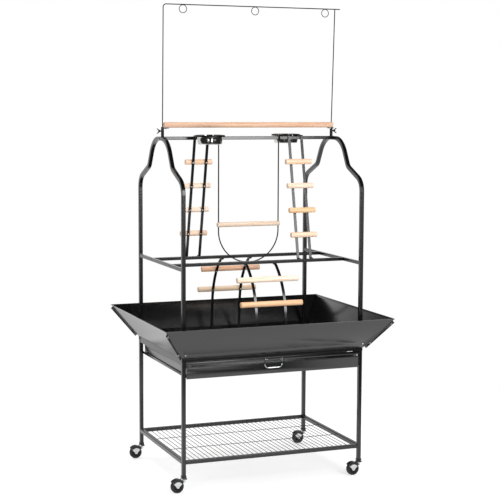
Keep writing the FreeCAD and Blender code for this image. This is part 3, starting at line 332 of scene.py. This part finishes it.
def dowels(name, node, axes, radius, tints_and_light):
    """Chamfered wooden dowels that stand for one node. Axes are (left end, right end) in X."""
    bm = bmesh.new()
    grain = bm.verts.layers.float_vector.new("grain")
    tint_and_light = bm.verts.layers.float_color.new("tint_and_light")
    for index, (x0, x1, y, z) in enumerate(axes):
        long = x1 - x0
        profile = [
            (0, radius - DOWEL_CHAMFER), (DOWEL_ARRIS, radius - DOWEL_ARRIS), (DOWEL_CHAMFER, radius),
            (long - DOWEL_CHAMFER, radius), (long - DOWEL_ARRIS, radius - DOWEL_ARRIS),
            (long, radius - DOWEL_CHAMFER),
        ]
        verts = turned(bm, (x0, y, z), (1, 0, 0), profile, 48)
        # Each dowel's tint is its own wood tone with painted light mixed in, paler where less light reaches
        # it
        colour = linear(tints_and_light[index])
        for vert in verts:
            away = vert.co - Vector((x0, y, z))
            vert[grain] = (away + GRAIN_SHIFT * (index + 1)) * MM
            vert[tint_and_light] = colour
    # End faces take the sawn-end material, darkened with painted shade beyond the end grain's own tone
    for face in bm.faces:
        if len(face.verts) > 4:
            face.material_index = 1
    new_piece(name, bm, [WOOD, END_GRAIN_AND_SHADE], [node])


def rung_axes(node, heights, radius):
    """Rung axes on the straight line, or the two ends, that the node's box gives."""
    low, high = (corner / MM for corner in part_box(node))
    y_top, y_foot = low.y + radius, high.y - radius
    if node in ("ladder_upper_right_rungs", "ladder_lower_front_rungs"):
        y_top, y_foot = high.y - radius, low.y + radius
    z_foot, z_top = low.z + radius, high.z - radius
    axes = []
    for z in heights or (z_foot, z_top):
        share = (z - z_foot) / (z_top - z_foot)
        axes.append((low.x, high.x, y_foot + share * (y_top - y_foot), z))
    return axes


UPPER_HEIGHTS = (950, 1047, 1144, 1239)
# Heights, radius and each dowel's tint, from the lowest rung up: its own wood tone with painted light, the
# upper left ladder's near-white tints standing in for the weaker light on it
RUNGS = {
    "ladder_upper_left_rungs": (UPPER_HEIGHTS, UPPER_RUNG_R, ("#F9DFC8", "#FCF1E8", "#FCEDE0", "#FBE0CA")),
    "ladder_upper_right_rungs": (UPPER_HEIGHTS, UPPER_RUNG_R, ("#F6DFCA", "#F3D4AC", "#F8E9DA", "#F7E1CC")),
    "ladder_lower_front_rungs": (None, LOWER_RUNG_R, ("#F6CDA6", "#F9F0E3")),
    "ladder_lower_back_rungs": (None, LOWER_RUNG_R, ("#EEDCC4", "#F3C9AE")),
}
rung_places = {}
for node, (heights, radius, tints_and_light) in RUNGS.items():
    rung_places[node] = rung_axes(node, heights, radius)
    dowels(node + "_wood", node, rung_places[node], radius, tints_and_light)
dowels("top_perch_wood", "top_perch", [(-359, 359, -14, 1386)], 11.0, ["#DEBDA6"])
dowels("swing_perch_wood", "swing_perch", [(-133, 133, 0, 990)], 9.5, ["#E7D8C9"])


# ---- Shelf wires ----
SHELF_WIRES = 37
SHELF_WIRE_R = 1.15
SHELF_BOW = 0.7             # how far an inner wire strays from straight
SHELF_STEPS = 12


def shelf_wires():
    """Round wires welded between the shelf rails, none of them quite straight."""
    bm = bmesh.new()
    low, high = (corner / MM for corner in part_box("shelf_grid"))
    last = SHELF_WIRES - 1
    for index in range(SHELF_WIRES):
        x = low.x + SHELF_WIRE_R + index * (high.x - low.x - 2 * SHELF_WIRE_R) / last
        bow = 0 if index in (0, last) else SHELF_BOW
        points = []
        for step in range(SHELF_STEPS + 1):
            y = low.y + step * (high.y - low.y) / SHELF_STEPS
            wave = bow * math.sin(0.011 * y + 2.4 * index) * math.sin(math.pi * step / SHELF_STEPS)
            points.append((x + wave, y, high.z - SHELF_WIRE_R))
        wire(bm, points, SHELF_WIRE_R)
    for share in (1 / 3, 2 / 3):
        y = low.y + share * (high.y - low.y)
        wire(bm, [(x, y, low.z + SHELF_WIRE_R) for x in (low.x, 0, high.x)], SHELF_WIRE_R)
    new_piece("shelf_wires", bm, [WIRE_COAT], ["shelf_grid"])


shelf_wires()


# ---- Casters ----
TRAIL, AXLE_Z, HOOD_R = 26.4, 25.4, 28.6
HOOD_START, HOOD_SWEEP = 34.0, 108.5   # degrees about the axle
CASTER_TURN = 2.6           # degrees that each caster stands turned


def about_axle(radius, degrees, y):
    """Point at a radius and an angle about the wheel's axle."""
    turn = math.radians(degrees)
    return Vector((-TRAIL + radius * math.cos(turn), y, AXLE_Z + radius * math.sin(turn)))


def hood_band(bm, inner, outer, y0, y1, material):
    """Sector of the hood, swept from the ear by the leg to the far ear."""
    old_faces = set(bm.faces)
    corners = ((inner, y0), (outer, y0), (outer, y1), (inner, y1))
    face = bm.faces.new([bm.verts.new(about_axle(radius, HOOD_START, y)) for radius, y in corners])
    bmesh.ops.spin(bm, geom=list(face.edges) + list(face.verts) + [face], cent=about_axle(0, 0, 0),
                   axis=(0, -1, 0), angle=math.radians(HOOD_SWEEP), steps=24, use_duplicate=False)
    painted(bm, old_faces, material)


def stood_up(bm, x, y):
    """Turn a caster's piece a little and set it under its leg."""
    bmesh.ops.rotate(bm, cent=(0, 0, 0), matrix=Matrix.Rotation(math.radians(CASTER_TURN), 3, "Z"),
                     verts=bm.verts)
    bmesh.ops.translate(bm, vec=(x, y, 0), verts=bm.verts)


def caster_fork(end, side, x, y):
    """Black hood over zinc cheeks, a turned swivel bell and the axle with its nuts."""
    bm = bmesh.new()
    hood_band(bm, HOOD_R - 1.6, HOOD_R, -11.3, 11.3, 1)
    for way in (-1, 1):
        hood_band(bm, 18.6, HOOD_R - 0.1, way * 10.7, way * 11.5, 1)
        rim = [about_axle(HOOD_R - 1.8, degrees, way * 10.2)
               for degrees in (34, 52, 70, 88, 106, 124, 142.5)]
        low = [about_axle(6.5, degrees, way * 10.2) for degrees in (180, 215, 250, 290, 325, 360)]
        plate(bm, rim + low, (0, way * 0.8, 0), 0)
        turned(bm, about_axle(0, 0, way * 10.8), (0, way, 0), [(0, 4.6), (0.5, 4.6), (0.7, 4.0)], 6, 0)
    turned(bm, about_axle(0, 0, -10.4), (0, 1, 0), [(0, 3), (20.8, 3)], 24, 0)
    bell = [
        (37.5, 6.4), (44.5, 8.0), (47.5, 8.0), (49.6, 12.6), (50.6, 14.6), (51.6, 14.6), (52.4, 13.2),
        (55.2, 11.0), (56.7, 9.0),
    ]
    turned(bm, (0, 0, 0), (0, 0, 1), bell, 40, 0)
    turned(bm, (0, 0, 0), (0, 0, 1), [(55.7, 4), (86, 4)], 24, 0)
    stood_up(bm, x, y)
    new_piece("fork_" + end + "_" + side, bm, [ZINC, HOOD_BLACK], ["caster_fork_" + end + "_" + side])


def caster_wheel(end, side, x, y):
    """Rubber tyre with a rounded tread on a zinc hub."""
    bm = bmesh.new()
    tyre = [
        (-9.2, 15.0), (-9.5, 16.4), (-9.5, 20.6), (-8.9, 22.8), (-7.0, 24.7), (-4.6, 25.35), (0, 25.4),
    ]
    tyre += [(-along, radius) for along, radius in tyre[-2::-1]]
    turned(bm, about_axle(0, 0, 0), (0, 1, 0), tyre, 64, 0, closed=True)
    hub = [(-9.3, 3.1), (-9.3, 5.4), (-8.2, 6.4), (-8.2, 12.2), (-9.2, 13.4), (-9.2, 15.1)]
    hub += [(-along, radius) for along, radius in hub[::-1]]
    turned(bm, about_axle(0, 0, 0), (0, 1, 0), hub, 48, 1, closed=True)
    stood_up(bm, x, y)
    new_piece("wheel_" + end + "_" + side, bm, [RUBBER, ZINC], ["caster_wheel_" + end + "_" + side])


for end, y in (("front", -LEG_Y), ("back", LEG_Y)):
    for side, way in SIDES:
        caster_fork(end, side, way * LEG_X, y)
        caster_wheel(end, side, way * LEG_X, y)


# ---- Cups ----
def cup(side, way):
    """Spun cup with a rolled lip and a rounded foot."""
    bm = bmesh.new()
    outside = [
        (1311.4, 6), (1311.4, 43.6), (1311.8, 45.6), (1312.8, 46.9), (1314.4, 47.5), (1330, 49.9),
        (1345.9, 52.3), (1346.9, 53.0), (1347.0, 55.6), (1347.3, 56.3), (1347.8, 56.5), (1348.2, 56.2),
        (1348.4, 55.4), (1348.3, 52.6), (1347.4, 51.4),
    ]
    inside = [(1330, 48.7), (1315, 46.4), (1313.2, 45.4), (1312.6, 43.6), (1312.4, 6)]
    turned(bm, (way * CUP_X, way * CUP_Y, 0), (0, 0, 1), outside + inside, 72)
    new_piece("cup_" + side + "_spun", bm, [STAINLESS], ["cup_" + side])


for side, way in SIDES:
    cup(side, way)


# ---- Screws ----
UPPER_LEAN = 0.206          # rise of an upper ladder's rail square to its length
LOWER_CENTRE_Z = 627.5      # middle of the lower ladders' bend, and the rungs' reach from it
LOWER_REACH = 275.3
RAIL_AHEAD = 4.3            # from a rung's far side to the screw head's seat


def pan_head(bm, base, way, length, radius=4.0, height=2.2):
    """Pan-head screw with a socket, its shank running along way."""
    out = -Vector(way)
    profile = [
        (0, radius), (height * 0.45, radius * 0.98), (height * 0.8, radius * 0.8), (height, radius * 0.5),
        (height, radius * 0.3), (height * 0.4, radius * 0.26),
    ]
    turned(bm, base, out, profile, 20)
    turned(bm, base, way, [(0, 2), (length, 2)], 16)


def rung_screws(node, rails, back):
    """Screws through a ladder's rails into its rungs, their heads on the rails' inner side."""
    bm = bmesh.new()
    upper = node.startswith("ladder_upper")
    radius = UPPER_RUNG_R if upper else LOWER_RUNG_R
    for _, _, y, z in rung_places[node]:
        rise = UPPER_LEAN if upper else (z - LOWER_CENTRE_Z) / LOWER_REACH
        ahead = Vector((0, back * math.sqrt(1 - rise * rise), rise))
        for x in rails:
            head = Vector((x, y, z)) - ahead * (radius + RAIL_AHEAD)
            profile = [(0, 3.6), (0.9, 3.5), (1.5, 2.7), (1.8, 1.3), (1.0, 1.0)]
            turned(bm, head, -ahead, profile, 16)
            turned(bm, head, ahead, [(0, 1.8), (12, 1.8)], 12)
    new_piece(node.replace("rungs", "screws"), bm, [ZINC], [], beside=node)


def frame_screws():
    """Screws of the long bars, beam, cup rings, top perch and lower ladders, in that order."""
    bm = bmesh.new()
    for way in (-1, 1):
        for y in (-LONG_BAR_Y, LONG_BAR_Y):
            pan_head(bm, (way * 374, y, 848.3), (-way, 0, 0), 16)
        pan_head(bm, (way * 375, 0, 1333), (-way, 0, 0), 16)
        pan_head(bm, (way * CUP_X, 0, 1343.5), (0, 0, -1), 16)
        pan_head(bm, (way * 350, -14, 1371.7), (0, 0, 1), 16)
        for y, middle in ((LONG_BAR_Y, -8), (-LONG_BAR_Y, 4)):
            pan_head(bm, (way * 61 + middle, y, 837.8), (0, 0, 1), 8)
    new_piece("frame_screw_heads", bm, [ZINC], ["frame_screws"])


frame_screws()
rung_screws("ladder_upper_left_rungs", (-225, -171), 1)
rung_screws("ladder_upper_right_rungs", (171, 225), -1)
rung_screws("ladder_lower_back_rungs", (-69, 53), 1)
rung_screws("ladder_lower_front_rungs", (-57, 65), -1)


# ---- Sheet and small parts with softened edges ----
for node in ("skirt_front", "skirt_back", "skirt_left", "skirt_right", "drawer_pan", "drawer_pull_strip",
             "drawer_runner_left", "drawer_runner_right"):
    softened(node, 0.35, SHEET_COAT)
for node in ("cup_ring_left", "cup_ring_right", "hanger_socket_left", "hanger_socket_right",
             "wing_bolt_left", "wing_bolt_right"):
    softened(node, 0.4, SLOT_MATERIALS[SLOT_OF[node]])
softened("caster_collars", 0.5, HOOD_BLACK)


# ---- Camera, floor and light, in metres ----
CAMERA_PLACE = (-1.9710, -5.0497, 1.4593)
CAMERA_TURNS = (21.390, 6.047, 0.2340)   # degrees to the right, down and rolled
CAMERA_LENS = 97.71
FLOOR_WHITE = (0.6, 0.6, 0.6, 1)
FLOOR_LIFT = 0.51           # brings the lit paint up to the photograph's white
SHADE_UNTIL, WHITE_FROM = 0.9, 2.2   # the shadow is kept this near the stand's middle
AMBIENT = 0.92              # even light of the studio on matt surfaces


def solved_camera():
    """Camera where the photograph was taken from."""
    yaw, pitch, roll = (math.radians(degrees) for degrees in CAMERA_TURNS)
    ahead = Vector((math.sin(yaw) * math.cos(pitch), math.cos(yaw) * math.cos(pitch), -math.sin(pitch)))
    level = Vector((math.cos(yaw), -math.sin(yaw), 0))
    upright = level.cross(ahead)
    right = level * math.cos(roll) + upright * math.sin(roll)
    up = upright * math.cos(roll) - level * math.sin(roll)
    data = bpy.data.cameras.new("camera")
    data.lens = CAMERA_LENS
    data.sensor_width = 36
    data.clip_end = 200
    camera = bpy.data.objects.new("camera", data)
    bpy.context.scene.collection.objects.link(camera)
    turn = Matrix((right, up, -ahead)).transposed().to_4x4()
    camera.matrix_world = Matrix.Translation(Vector(CAMERA_PLACE)) @ turn
    bpy.context.scene.camera = camera


def seen_directly(tree):
    """1 for rays from the camera, off gloss or through glass, else 0."""
    path = add(tree, "ShaderNodeLightPath")
    both = add(tree, "ShaderNodeMath", {
        0: path.outputs["Is Camera Ray"], 1: path.outputs["Is Glossy Ray"],
    }, operation="MAXIMUM")
    return add(tree, "ShaderNodeMath", {
        0: both.outputs["Value"], 1: path.outputs["Is Transmission Ray"],
    }, operation="MAXIMUM").outputs["Value"]


def pale_floor():
    """White floor that keeps the stand's soft shadow near it. It runs out to plain white behind
    the stand and into the dark room in front of it."""
    bm = bmesh.new()
    bmesh.ops.create_grid(bm, x_segments=1, y_segments=1, size=60)
    mesh = bpy.data.meshes.new("floor")
    bm.to_mesh(mesh)
    bm.free()
    floor = bpy.data.objects.new("floor", mesh)
    bpy.context.scene.collection.objects.link(floor)
    material = bpy.data.materials.new("floor_painted_white")
    material.use_nodes = True
    tree = material.node_tree
    tree.nodes.clear()
    paint = add(tree, "ShaderNodeBsdfDiffuse", {"Color": FLOOR_WHITE})
    lift = add(tree, "ShaderNodeEmission", {"Color": (1, 1, 1, 1), "Strength": FLOOR_LIFT})
    near = add(tree, "ShaderNodeAddShader", {0: paint.outputs["BSDF"], 1: lift.outputs["Emission"]})
    place = add(tree, "ShaderNodeTexCoord").outputs["Object"]
    across = add(tree, "ShaderNodeSeparateXYZ", {"Vector": place})
    aside = add(tree, "ShaderNodeMath", {0: across.outputs["X"]}, operation="ABSOLUTE").outputs["Value"]
    forward = add(tree, "ShaderNodeMath", {0: aside, 1: -1.0, 2: across.outputs["Y"]},
                  operation="MULTIPLY_ADD").outputs["Value"]
    sweep = add(tree, "ShaderNodeMapRange", {
        "Value": forward, "From Min": -2.7, "From Max": -1.8, "To Min": 0.03, "To Max": 1.0,
    }, interpolation_type="SMOOTHSTEP").outputs["Result"]
    far = add(tree, "ShaderNodeEmission", {"Color": (1, 1, 1, 1), "Strength": sweep})
    distance = add(tree, "ShaderNodeVectorMath", {0: place}, operation="LENGTH").outputs["Value"]
    away = add(tree, "ShaderNodeMapRange", {
        "Value": distance, "From Min": SHADE_UNTIL, "From Max": WHITE_FROM,
    }, interpolation_type="SMOOTHSTEP")
    shown = add(tree, "ShaderNodeMixShader", {
        0: away.outputs["Result"], 1: near.outputs["Shader"], 2: far.outputs["Emission"],
    })
    whole = add(tree, "ShaderNodeMixShader", {
        0: seen_directly(tree), 1: paint.outputs["BSDF"], 2: shown.outputs["Shader"],
    })
    add(tree, "ShaderNodeOutputMaterial", {"Surface": whole.outputs["Shader"]})
    mesh.materials.append(material)


def softbox(name, place, aim, width, height, power):
    """Soft lamp at a place, facing a point."""
    data = bpy.data.lights.new(name, "AREA")
    data.shape = "RECTANGLE"
    data.size = width
    data.size_y = height
    data.energy = power
    lamp = bpy.data.objects.new(name, data)
    bpy.context.scene.collection.objects.link(lamp)
    lamp.location = place
    lamp.rotation_euler = (Vector(aim) - Vector(place)).to_track_quat("-Z", "Y").to_euler()


def studio_light():
    """White wall behind the stand, and a dark ceiling and room elsewhere but for the softboxes.
    The eye, gloss and glass all see this same room."""
    world = bpy.data.worlds.new("studio")
    bpy.context.scene.world = world
    world.use_nodes = True
    tree = world.node_tree
    tree.nodes.clear()
    way = add(tree, "ShaderNodeSeparateXYZ", {
        "Vector": add(tree, "ShaderNodeTexCoord").outputs["Generated"],
    })
    ceiling = add(tree, "ShaderNodeMapRange", {
        "Value": way.outputs["Z"], "From Min": 0.12, "From Max": 0.45, "To Min": 1.0, "To Max": 0.06,
    }, interpolation_type="SMOOTHSTEP").outputs["Result"]
    behind = add(tree, "ShaderNodeMapRange", {
        "Value": way.outputs["Y"], "From Min": 0.4, "From Max": 0.8, "To Min": 0.03, "To Max": 1.0,
    }, interpolation_type="SMOOTHSTEP").outputs["Result"]
    room = add(tree, "ShaderNodeMath", {0: ceiling, 1: behind}, operation="MULTIPLY").outputs["Value"]
    strength = add(tree, "ShaderNodeMix", {0: seen_directly(tree), 2: AMBIENT, 3: room},
                   data_type="FLOAT").outputs[0]
    wall = add(tree, "ShaderNodeBackground", {"Color": (1, 1, 1, 1), "Strength": strength})
    add(tree, "ShaderNodeOutputWorld", {"Surface": wall.outputs["Background"]})
    softbox("top_light", (-1.3, 1.2, 3.6), (0, 0, 0), 2.0, 2.0, 30)
    softbox("front_light", (0.95, -2.9, 1.8), (0, 0, 1.2), 0.9, 1.5, 44)
    softbox("low_light", (1.15, -2.9, 0.7), (0, 0, 0.7), 1.3, 0.8, 2.5)
    softbox("middle_light", (-0.2, -2.9, 0.42), (-0.2, 0, 1.2), 0.5, 0.6, 5)
    softbox("near_left_light", (-1.95, -2.7, 0.42), (-0.2, 0, 1.2), 0.6, 0.6, 6)
    softbox("left_light", (-2.6, -2.3, 1.9), (0, 0, 1.3), 0.3, 1.4, 14)


solved_camera()
pale_floor()
studio_light()
bpy.context.scene.view_settings.view_transform = "Standard"
